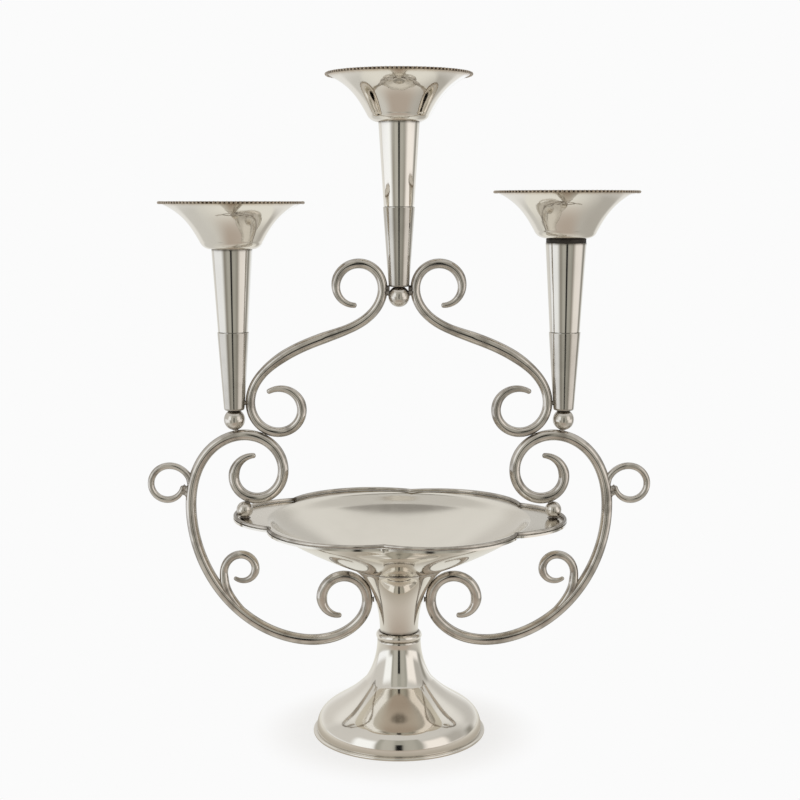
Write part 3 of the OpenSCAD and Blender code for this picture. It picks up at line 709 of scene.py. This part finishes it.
def drawnEnds(line, radius):  # adds rounded points to both ends of a wire
    steps = np.array(tipLook["steps"])
    shrink = np.sqrt(1 - (steps / tipLook["length"]) ** 2)
    tips = []
    for place, inner, wide in ((line[0], line[1], radius[0]), (line[-1], line[-2], radius[-1])):
        out = unit(place - inner)
        tips.append((place + wide * steps[:, None] * out, wide * shrink))
    (start, startWide), (end, endWide) = tips
    return np.vstack([start[::-1], line, end]), np.concatenate([startWide[::-1], radius, endWide])


armLine = fittedLine(scrollLine(armLook), "right_arm_scroll", armLook["radius"])
archLine = fittedLine(scrollLine(archLook), "right_arch_scroll", archLook["radius"])


def wireRadii(look, long, places=(), widths=()):
    marks = [0, look["taper"], *places, long - look["taper"], long]
    widths = [look[key] for key in ("tip", "radius", *widths, "radius", "tip")]
    return np.interp(np.arange(long + 1), marks, widths)


armRadius = wireRadii(armLook, len(armLine) - 1)
swelling = ("radius", "swell", "swell", "radius")
archRadius = wireRadii(archLook, len(archLine) - 1, archLook["swellAt"], swelling)


def branchLine(look):  # a wire that parts from the arm little by little, with a thicker root
    at, lead = look["at"], look["lead"]
    root = armLine[at]
    line = scrollLine({**look, "start": root[:2], "heading": math.degrees(root[2]) + look["leave"]})[:, :2]
    crotch, first = line[branchLook["crotch"]], lead // 2
    inside, outside = armLine[at + lead, :2], line[first]
    pull = [p + (root[:2] - p) * 2 / 3 for p in (inside, outside)]
    line = np.vstack([bezier(inside, *pull, outside, lead + 2), line[first + 1 :]])
    long = len(line) - 1
    marks = [0, lead, lead + branchLook["rootRun"], long - look["taper"], long]
    widths = [look["radius"] * share for share in (1.0, look["root"], 1, 1)] + [look["tip"]]
    return line, np.interp(np.arange(long + 1), marks, widths), np.array([crotch[0], 0, crotch[1]])


sprigLine, sprigRadius, sprigCrotch = branchLine(sprigLook)
loopLine, loopRadius, loopCrotch = branchLine(loopLook)

# balls under the sockets, and contacts of the right-hand side with the width and length of their solder
socketBallLook = {
    "radius": 6.1, "sunk": 0.6, "neckAngle": 64, "neckTop": 5.62, "neckLip": ((0.2, -0.04), (0.5, 0)),
    "turns": 80, "shadeTarnishAt": [(3.0, 5.5)], "shadeTarnishReach": 1.3,
}
solderLook = {
    "waist": 0.66, "gap": 0.05, "dishBall": (2.0, 1.7), "socketBall": (2.2, 1.9), "archFoot": (1.9, 1.6),
    "loopTip": (2.2, 3.0), "archSide": (1.9, 1.6), "archTop": (2.6, 2.2), "stem": (2.0, 1.6),
    "loopRoot": (2.2, 3.0), "topBall": (2.7, 2.4), "topBallAt": (6.7, 2.2), "wireShadeTarnish": 2.4, "topShadeTarnish": 3.2,
    "tipOut": 0.3, "rootOut": 0.8,
}
# stretches of the lines, in points along them, that meet other pieces
lineAt = {
    "dishBall": slice(15, 60), "arch": slice(60, 130), "socketBall": slice(85, 120),
    "loopTip": slice(140, 160), "loopRoot": slice(loopLook["at"] + 3, loopLook["at"] + 9, 3),
    "stem": slice(300, 372), "archFoot": slice(150, 230), "loopEnd": slice(-8, None),
    "loopRound": slice(20, None),
}
flipped = np.array([-1, 1, 1])
balls = ("right_dish_ball", "right_socket_ball", "top_socket_ball")
ballCentre, socketBall, topBall = (np.mean(nodeBox(name), axis=0)[[0, 2]] for name in balls)
ballRadius = np.ptp(nodeBox(balls[0]), axis=0)[2] / 2
sideX = socketBall[0]


def ballTouch(centre, radius, line):
    near = line[np.argmin(np.linalg.norm(line[:, :2] - centre, axis=1)), :2]
    way = unit(near - centre)
    return centre + way * (radius + solderLook["gap"]), way


def lineTouch(first, second, radius):
    first, second = first[:, :2], second[:, :2]
    apart = np.linalg.norm(first[:, None] - second[None], axis=2)
    i, j = np.unravel_index(np.argmin(apart), apart.shape)
    way = (second[j] - first[i]) / apart[i, j]
    return first[i] + way * (radius + solderLook["gap"]), way


def sideTouch(line, side, radius):
    way = np.array([side, 0.0])
    return line[np.argmax(line[:, 0] * side), :2] + way * (radius + solderLook["gap"]), way


armWide, archWide = armLook["radius"], archLook["radius"]
loopEnd = loopLine[lineAt["loopEnd"]]
touches = {
    "dishBall": ballTouch(ballCentre, ballRadius, armLine[lineAt["dishBall"]]),
    "socketBall": ballTouch(socketBall, socketBallLook["radius"], armLine[lineAt["socketBall"]]),
    "archFoot": lineTouch(archLine[lineAt["archFoot"]], armLine[lineAt["arch"]], archWide),
    "loopTip": lineTouch(armLine[lineAt["loopTip"]], loopEnd, armWide + solderLook["tipOut"]),
    "archSide": sideTouch(archLine, 1.0, archWide),
    "archTop": sideTouch(archLine, -1.0, archWide),
    "stem": sideTouch(armLine[lineAt["stem"]], -1.0, armWide),
}
contacts = [(*touch, *solderLook[name]) for name, touch in touches.items()]
joints = {name: np.array([place[0], 0, place[1]]) for name, (place, _) in touches.items()}
topJoints = [joints["archTop"], joints["archTop"] * flipped]
loopMiddle = loopLine[lineAt["loopRound"]].mean(axis=0)
for spot in armLine[lineAt["loopRoot"], :2]:
    way = unit(loopMiddle - spot)
    contacts.append((spot + way * (armWide + solderLook["rootOut"]), way, *solderLook["loopRoot"]))
contacts.append((topBall + np.array(solderLook["topBallAt"]), np.array([1.0, 0.0]), *solderLook["topBall"]))
print("wire lines drawn, contacts:", len(contacts))

wireParts = {
    "arm_scroll": (armLine, armRadius, armLook),
    "arch_scroll": (archLine, archRadius, archLook),
    "inner_scroll": (sprigLine, sprigRadius, sprigLook),
    "finger_loop": (loopLine, loopRadius, loopLook),
}
for sideName, side in (("left", -1), ("right", 1)):
    spots = [p * np.array([side, 1, 1]) for p in [*joints.values(), sprigCrotch, loopCrotch]]
    for part, (line, radius, look) in wireParts.items():
        name = f"{sideName}_{part}_wire"
        line, radius = drawnEnds(line[:, :2], radius)
        line = np.column_stack([line[:, 0] * side, np.zeros(len(line)), line[:, 1]])
        mesh = lineMesh(name, [line], [radius])
        piece = grownPiece(name, mesh, scrollWire, "scrollSilver", {"Sides": look["sides"]})
        paintShadeAndTarnish(piece, solderLook["wireShadeTarnish"], spots)
        finishPiece(piece, "scrollSilver", f"{sideName}_{part}")

places, axes, sizes = [], [], []
for side in (1, -1):
    for place, way, wide, tall in contacts:
        places.append(Vector((place[0] * side, 0, place[1])) * mm)
        axes.append((way[0] * side, 0, way[1]))
        sizes.append((wide * mm, wide * mm, tall * mm))
solderMesh = bpy.data.meshes.new("solder_joints")
solderMesh.from_pydata(places, [], [])
pointValues(solderMesh, "axis", axes, "FLOAT_VECTOR")
pointValues(solderMesh, "size", sizes, "FLOAT_VECTOR")
waist = {"Waist": solderLook["waist"]}
solder = grownPiece("solder_joints", solderMesh, solderFillet, "solderGrey", waist)
# painted shade darkens the solder round the arch tops by the top socket
paintShadeAndTarnish(solder, solderLook["topShadeTarnish"], topJoints)
finishPiece(solder, "solderGrey")
print("scroll work made")

# balls and sockets
dishBallLook = {
    "radius": ballRadius, "foot": 2.5, "skirt": ((0.9, 0), (0.45, 0.05), (0.1, -0.25)), "turns": 72,
    "shadeTarnishAt": [(2.8, -ballRadius)], "shadeTarnishReach": 1.4,
}


def ballOutline(look):  # a ball with a small solder foot below
    radius, foot = look["radius"], look["foot"]
    low = -radius - solderLook["gap"]
    ball = arcPoints((0, 0), radius, -math.degrees(math.acos(foot / radius)), 90, 40)
    ball[-1] = (0, radius)
    rim, lower, upper = np.array(look["skirt"])
    skirt = bezier(rim + (foot, low), lower + (foot, low), upper + ball[0], ball[0], 6)
    return np.vstack([[(0, low)], skirt, ball[1:]])


for name, side in (("left_dish_ball", -1), ("right_dish_ball", 1)):
    place, spot = (ballCentre[0] * side, ballCentre[1]), joints["dishBall"] * np.array([side, 1, 1])
    turnedPart(f"{name}_bead", name, ballOutline, dishBallLook, "ballSilver", place, [spot])

socketLook = {
    "bottom": 5.9, "top": 9.0, "height": 45.0, "wall": 0.8, "floor": 2.0, "sideFrom": 2.0, "lipTall": 0.5,
    "corner": ((-1.1, 0), (-0.3, 0.02), (0, 0.35)), "cornerTop": 1.4, "lipInside": ((0.15, 0), (0, -0.2)),
    "lip": ((0.02, -0.3), (-0.08, -0.05), (-0.3, 0)), "turns": 112, "shadeTarnishAt": [(4.6, 0.0)], "shadeTarnishReach": 1.1,
}


def socketOutline(look):
    low, high, tall, wall = (look[key] for key in ("bottom", "top", "height", "wall"))
    slope, cornerTop, start = (high - low) / tall, look["cornerTop"], look["sideFrom"]
    corner = bezier(*(np.array(look["corner"]) + (low, 0)), (low + slope * cornerTop, cornerTop), 8)
    side = np.linspace((low + slope * start, start), (high, tall - look["lipTall"]), 30)
    lip = np.array(look["lip"]) + (high, tall)
    inside = np.array(look["lipInside"]) + (high - wall, tall)
    floor = [(low + slope * look["floor"] - wall, look["floor"]), (0, look["floor"])]
    return np.vstack([[(0, 0)], corner, side, lip, inside, floor])


def socketBallOutline(look):
    radius, top = look["radius"], look["neckTop"]
    ball = arcPoints((0, 0), radius, -90, look["neckAngle"], 44)
    ball[0] = (0, -radius)
    neck = radius * math.cos(math.radians(look["neckAngle"]))
    return np.vstack([ball, np.array(look["neckLip"]) + (neck, top), [(0, top)]])


socketAt = {"left": -sideX, "right": sideX, "top": 0.0}
socketPlaces = {name: (x, nodeBox(f"{name}_socket")[0][2]) for name, x in socketAt.items()}
for name, (middle, lift) in socketPlaces.items():
    node = f"{name}_socket"
    spots = [p * flipped if middle < 0 else p for p in joints.values()] + topJoints
    ballAt = (middle, lift + socketBallLook["sunk"] - socketBallLook["radius"])
    turnedPart(f"{node}_bead", f"{node}_ball", socketBallOutline, socketBallLook, "ballSilver", ballAt, spots)
    turnedPart(f"{node}_cup", node, socketOutline, socketLook, "socketPlate", (middle, lift), spots)
print("sockets made")

# trumpets: tube, bell and bead rim
tubeLook = {
    "plugFoot": 5.165, "plugTop": 8.1, "plugAt": 2.4, "seamAt": 45.1, "foot": 8.6, "top": 11.6, "wall": 0.8,
    "shoulder": ((-0.25, 0), (-0.04, 0.12), (0, 0.4), (0.06, 1)), "turns": 128, "shadeTarnishReach": 0.7,
}
bellLook = {
    "lip": (39.6, 25.65), "base": (18.2, 4.36), "flat": 11.7, "hole": 10.8, "wall": 0.8,
    "flarePull": ((0.6, 0.27), (0.21, 0.367)), "basePull": (0.14, 0.5, 0.46), "turns": 176,
    # the ring at the lip is a painted shadow of the bead rim on the bell, with tarnish
    "shadeTarnishAt": [(11.5, 0.0), (39.7, 25.45)], "shadeTarnishReach": 2.2,
}
rimLook = {
    "radius": 40.65, "above": 26.05, "bead": 0.84, "longest": 1.28, "band": 0.66, "beads": 108,
    "seeds": {"left": 3, "right": 5, "top": 8},
}
bandLook = {"inner": 10.8, "outer": 11.4, "edge": (0.2, 0.25), "waist": 0.12, "turns": 112}


def tubeOutline(look):
    foot, seam, top, tall, wall = (look[key] for key in ("foot", "seamAt", "top", "height", "wall"))
    plug = np.linspace((look["plugFoot"], look["plugAt"]), (look["plugTop"], seam), 12)
    shoulder = np.array(look["shoulder"]) + (foot, seam)
    side = np.linspace(shoulder[-1], (top, tall), 40)
    inside = np.linspace((top - wall, tall), (look["plugTop"] - wall, seam), 20)
    floor = [(look["plugFoot"] - wall, look["plugAt"])]
    return np.vstack([plug, shoulder, side[1:], inside, floor])


def bellOutline(look):
    lip, base = np.array(look["lip"]), np.array(look["base"])
    flare = lip - base
    roundness = base[0] - look["flat"]
    upper, lower = look["flarePull"]
    bell = bezier(lip, lip - flare * upper, base + flare * lower, base, 64)
    inward, down, under = look["basePull"]
    pulls = (base[0] - inward * roundness, base[1] * down), (base[0] - under * roundness, 0)
    bottom = bezier(base, *pulls, (look["flat"], 0), 24)
    outer = np.vstack([bell, bottom[1:], [(look["hole"] + 0.4, 0), (look["hole"], 0)]])
    return sheetOutline(outer, look["wall"])


for name, (middle, lift) in socketPlaces.items():
    body, plate = f"{name}_trumpet", "silverPlate" if name == "top" else "sidePlate"
    tall = nodeBox(f"{body}_tube")[1][2] - lift
    tube = {**tubeLook, "height": tall, "shadeTarnishAt": [(tubeLook["top"], tall)]}
    turnedPart(f"{name}_tube", f"{body}_tube", tubeOutline, tube, plate, (middle, lift), body=body)
    bellAt = nodeBox(f"{body}_mouth")[0][2]
    place = (middle, bellAt)
    turnedPart(f"{name}_bell", f"{body}_mouth", bellOutline, bellLook, "bellPlate", place, body=body)
    rimValues = {
        "Centre": Vector((middle, 0, bellAt + rimLook["above"])) * mm, "Rim Radius": rimLook["radius"] * mm,
        "Bead Radius": rimLook["bead"] * mm, "Band Radius": rimLook["band"] * mm, "Beads": rimLook["beads"],
        "Longest": rimLook["longest"], "Seed": rimLook["seeds"][name],
    }
    rimName = f"{name}_rim_beads"
    rim = grownPiece(rimName, bpy.data.meshes.new(rimName), beadRim, "rimSilver", rimValues)
    finishPiece(rim, "rimSilver", f"{body}_rim", body=body)

bandLow, bandHigh = (corner[2] for corner in nodeBox("right_neck_band"))
inner, outer, tall = bandLook["inner"], bandLook["outer"], bandHigh - bandLow
across, up = bandLook["edge"]
bandShape = [(inner, 0), (outer - across, 0), (outer, up), (outer - bandLook["waist"], tall / 2)]
bandShape = np.array(bandShape + [(outer, tall - up), (outer - across, tall), (inner, tall)])
band = linkPiece("right_band", turnedMesh("right_band", bandShape, bandLook["turns"], sideX, bandLow))
finishPiece(band, "packingDark", "right_neck_band", body="right_trumpet", slot="packing")
print("trumpets made")

# inner pieces keep their CAD shape
for name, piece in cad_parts.items():
    if name.endswith(("_disc", "_floor")) or name.startswith("tie_"):
        piece.data.materials.clear()
        piece.data.materials.append(materials["innerPlate"])

# studio; azimuths are degrees from the camera's side, to the right
tentLook = {
    "back": (0.82, 0.815, 0.79), "white": 0.965, "fill": (0.92, 0.90, 0.87), "fillStrength": 0.9,
    "panels": [
        # colour, azimuths, elevations, softness of each
        ((0.68, 0.665, 0.635), (-220, -122), (6, 30), (10, 8)),
        ((0.60, 0.59, 0.565), (122, 220), (6, 30), (10, 8)),
        ((1.03, 1.06, 1.10), (142, 205), (-16, -2), (8, 3)),
        ((0.64, 0.63, 0.605), (-122, 122), (-120, 120), (12, 12)),
        ((0.48, 0.465, 0.435), (24, 104), (-120, 36), (12, 12)),
        ((0.62, 0.615, 0.585), (-160, -36), (-120, -26), (14, 4)),
        ((0.46, 0.445, 0.41), (24, 160), (-120, -26), (14, 4)),
        ((1.03, 1.06, 1.10), (-118, -30), (-24, 0), (5, 4)),
        ((1.03, 1.06, 1.08), (-66, -34), (-24, 34), (6, 8)),
        ((1.00, 0.96, 0.93), (30, 101), (-24, 0), (7, 4)),
        ((0.98, 0.94, 0.90), (36, 72), (-24, 34), (6, 8)),
        ((0.31, 0.30, 0.27), (107, 125), (-24, 16), (8, 8)),
        ((0.32, 0.30, 0.26), (-49, 46), (-60, -2), (13, 4)),
        ((0.385, 0.38, 0.34), (-33, 33), (-120, 48), (2.5, 2.5)),
        ((0.50, 0.49, 0.445), (-25, -7), (-120, 48), (4, 2.5)),
        ((0.45, 0.44, 0.395), (8, 24), (-120, 48), (4, 2.5)),
        ((0.01, 0.01, 0.01), (-5, 5), (-26, 24), (2.5, 1.5)),
    ],
    "ceilingSpot": {
        "elevation": 79.5, "droop": 0.02, "across": 22, "up": 6.5, "edge": (1.15, 0.85),
        "colour": (0.31, 0.30, 0.28),
    },
}


def studioWorld(look):
    world = bpy.data.worlds.new("lightTent")
    world.use_nodes = True
    tree = world.node_tree
    tree.nodes.clear()
    way = addNode(tree, "ShaderNodeTexCoord").outputs["Generated"]
    x, y, z = addNode(tree, "ShaderNodeSeparateXYZ", {0: way}).outputs
    azimuth = calc(tree, "DEGREES", calc(tree, "ARCTAN2", x, times(tree, y, -1.0)))
    elevation = calc(tree, "DEGREES", calc(tree, "ARCSINE", z))
    colour = (*look["back"], 1)
    for tint, azimuths, elevations, softness in look["panels"]:
        mask = 1.0
        for value, (start, end), soft in zip((azimuth, elevation), (azimuths, elevations), softness):
            mask = times(tree, mask, ramp(tree, value, start - soft, start + soft))
            mask = times(tree, mask, ramp(tree, value, end + soft, end - soft))
        colour = blendColour(tree, mask, colour, (*tint, 1))
    spot = look["ceilingSpot"]
    across = calc(tree, "DEGREES", calc(tree, "ARCSINE", x))
    droop = times(tree, times(tree, across, across), spot["droop"])
    up = calc(tree, "ADD", calc(tree, "DEGREES", calc(tree, "ARCTAN2", z, y)), droop)
    up = calc(tree, "DIVIDE", calc(tree, "SUBTRACT", up, spot["elevation"]), spot["up"])
    across = calc(tree, "DIVIDE", across, spot["across"])
    away = lengthOf(tree, across, up)
    colour = blendColour(tree, ramp(tree, away, *spot["edge"]), colour, (*spot["colour"], 1))
    ray = addNode(tree, "ShaderNodeLightPath").outputs
    seen = calc(tree, "MAXIMUM", ray["Is Glossy Ray"], ray["Is Transmission Ray"])
    fill = grow(tree, "ShaderNodeBackground", {0: (*look["fill"], 1), 1: look["fillStrength"]})
    tent = grow(tree, "ShaderNodeBackground", {0: colour, 1: 1.0})
    plain = grow(tree, "ShaderNodeBackground", {0: (look["white"],) * 3 + (1,), 1: 1.0})
    mixed = mixShaders(tree, seen, fill, tent)
    mixed = mixShaders(tree, ray["Is Camera Ray"], mixed, plain)
    tree.links.new(mixed, addNode(tree, "ShaderNodeOutputWorld").inputs[0])
    bpy.context.scene.world = world


studioWorld(tentLook)

floorLook = {
    "radius": 1.6, "sides": 96, "colour": (0.90, 0.885, 0.86), "white": 0.965, "nearShare": 0.72,
    "fade": (0.055, 0.09), "metalRadius": (0.30, 0.38), "metalBack": (0.80, 0.79, 0.735),
    "metalFront": (0.46, 0.40, 0.345), "metalLeft": (0.64, 0.635, 0.60), "metalRight": (0.48, 0.465, 0.43),
    "paintedShadowTint": (0.40, 0.36, 0.30), "paintedShadowRadius": (0.03, 0.10), "frontDepth": (-0.12, 0.20),
    "sideWidth": (0.10, 0.32),
}


def studioFloor(look):
    mesh = bpy.data.meshes.new("floor")
    angles = np.linspace(0, math.tau, look["sides"], endpoint=False)
    ring = [(look["radius"] * math.cos(a), look["radius"] * math.sin(a), 0) for a in angles]
    mesh.from_pydata(ring, [], [list(range(look["sides"]))])
    material, tree, shader = newMaterial("paleFloor")
    shader.inputs["Base Color"].default_value = (*look["colour"], 1)
    shader.inputs["Roughness"].default_value = 1.0
    shader.inputs["Specular IOR Level"].default_value = 0.0
    ray = addNode(tree, "ShaderNodeLightPath").outputs
    place = addNode(tree, "ShaderNodeTexCoord").outputs["Object"]
    x, y, z = addNode(tree, "ShaderNodeSeparateXYZ", {0: place}).outputs
    away = lengthOf(tree, x, y)
    # painted shade: for glossy rays the floor glows, darker in front and at the sides than at the back
    depth = ramp(tree, times(tree, y, -1.0), *look["frontDepth"])
    tint = blendColour(tree, depth, (*look["metalBack"], 1), (*look["metalFront"], 1))
    tint = blendColour(tree, ramp(tree, x, *look["sideWidth"]), tint, (*look["metalRight"], 1))
    left = ramp(tree, times(tree, x, -1.0), *look["sideWidth"])
    tint = blendColour(tree, left, tint, (*look["metalLeft"], 1))
    # painted shadow: metal sees the floor darker round the foot
    tint = blendColour(tree, ramp(tree, away, *look["paintedShadowRadius"]), (*look["paintedShadowTint"], 1), tint)
    near = grow(tree, "ShaderNodeEmission", {0: tint, 1: 1.0})
    clear = grow(tree, "ShaderNodeBsdfTransparent")
    beyond = ramp(tree, away, *look["metalRadius"])
    metal = mixShaders(tree, beyond, near, clear)
    seen = calc(tree, "MAXIMUM", ray["Is Glossy Ray"], ray["Is Transmission Ray"])
    mixed = mixShaders(tree, seen, shader.outputs[0], metal)
    glow = grow(tree, "ShaderNodeEmission", {0: (look["white"],) * 3 + (1,), 1: 1.0})
    share = ramp(tree, away, *look["fade"], look["nearShare"], 1.0)
    share = times(tree, ray["Is Camera Ray"], share)
    mixed = mixShaders(tree, share, mixed, glow)
    tree.links.new(mixed, tree.nodes["Material Output"].inputs[0])
    mesh.materials.append(material)
    floor = linkPiece("floor", mesh)


studioFloor(floorLook)

lampLook = {"power": 6.0, "size": 1.4, "place": (0, -0.1, 1.5)}
lamp = bpy.data.lights.new("softBox", "AREA")
lamp.energy = lampLook["power"]
lamp.size = lampLook["size"]
softBox = linkPiece("softBox", lamp)
softBox.location = lampLook["place"]
softBox.visible_glossy = softBox.visible_camera = False

cameraLook = {
    "place": (0, -0.815, 0.3085), "down": 7.77, "lens": 64.35, "sensor": 36.0, "shift": 0.00125,
    "clip": (0.01, 50),
}
lens = bpy.data.cameras.new("photoCamera")
lens.lens, lens.sensor_width, lens.shift_x = (cameraLook[key] for key in ("lens", "sensor", "shift"))
lens.clip_start, lens.clip_end = cameraLook["clip"]
photoCamera = linkPiece("photoCamera", lens)
photoCamera.location = cameraLook["place"]
photoCamera.rotation_euler = (math.radians(90 - cameraLook["down"]), 0, 0)
bpy.context.scene.camera = photoCamera
bpy.context.scene.view_settings.view_transform = "Standard"
print("studio made")
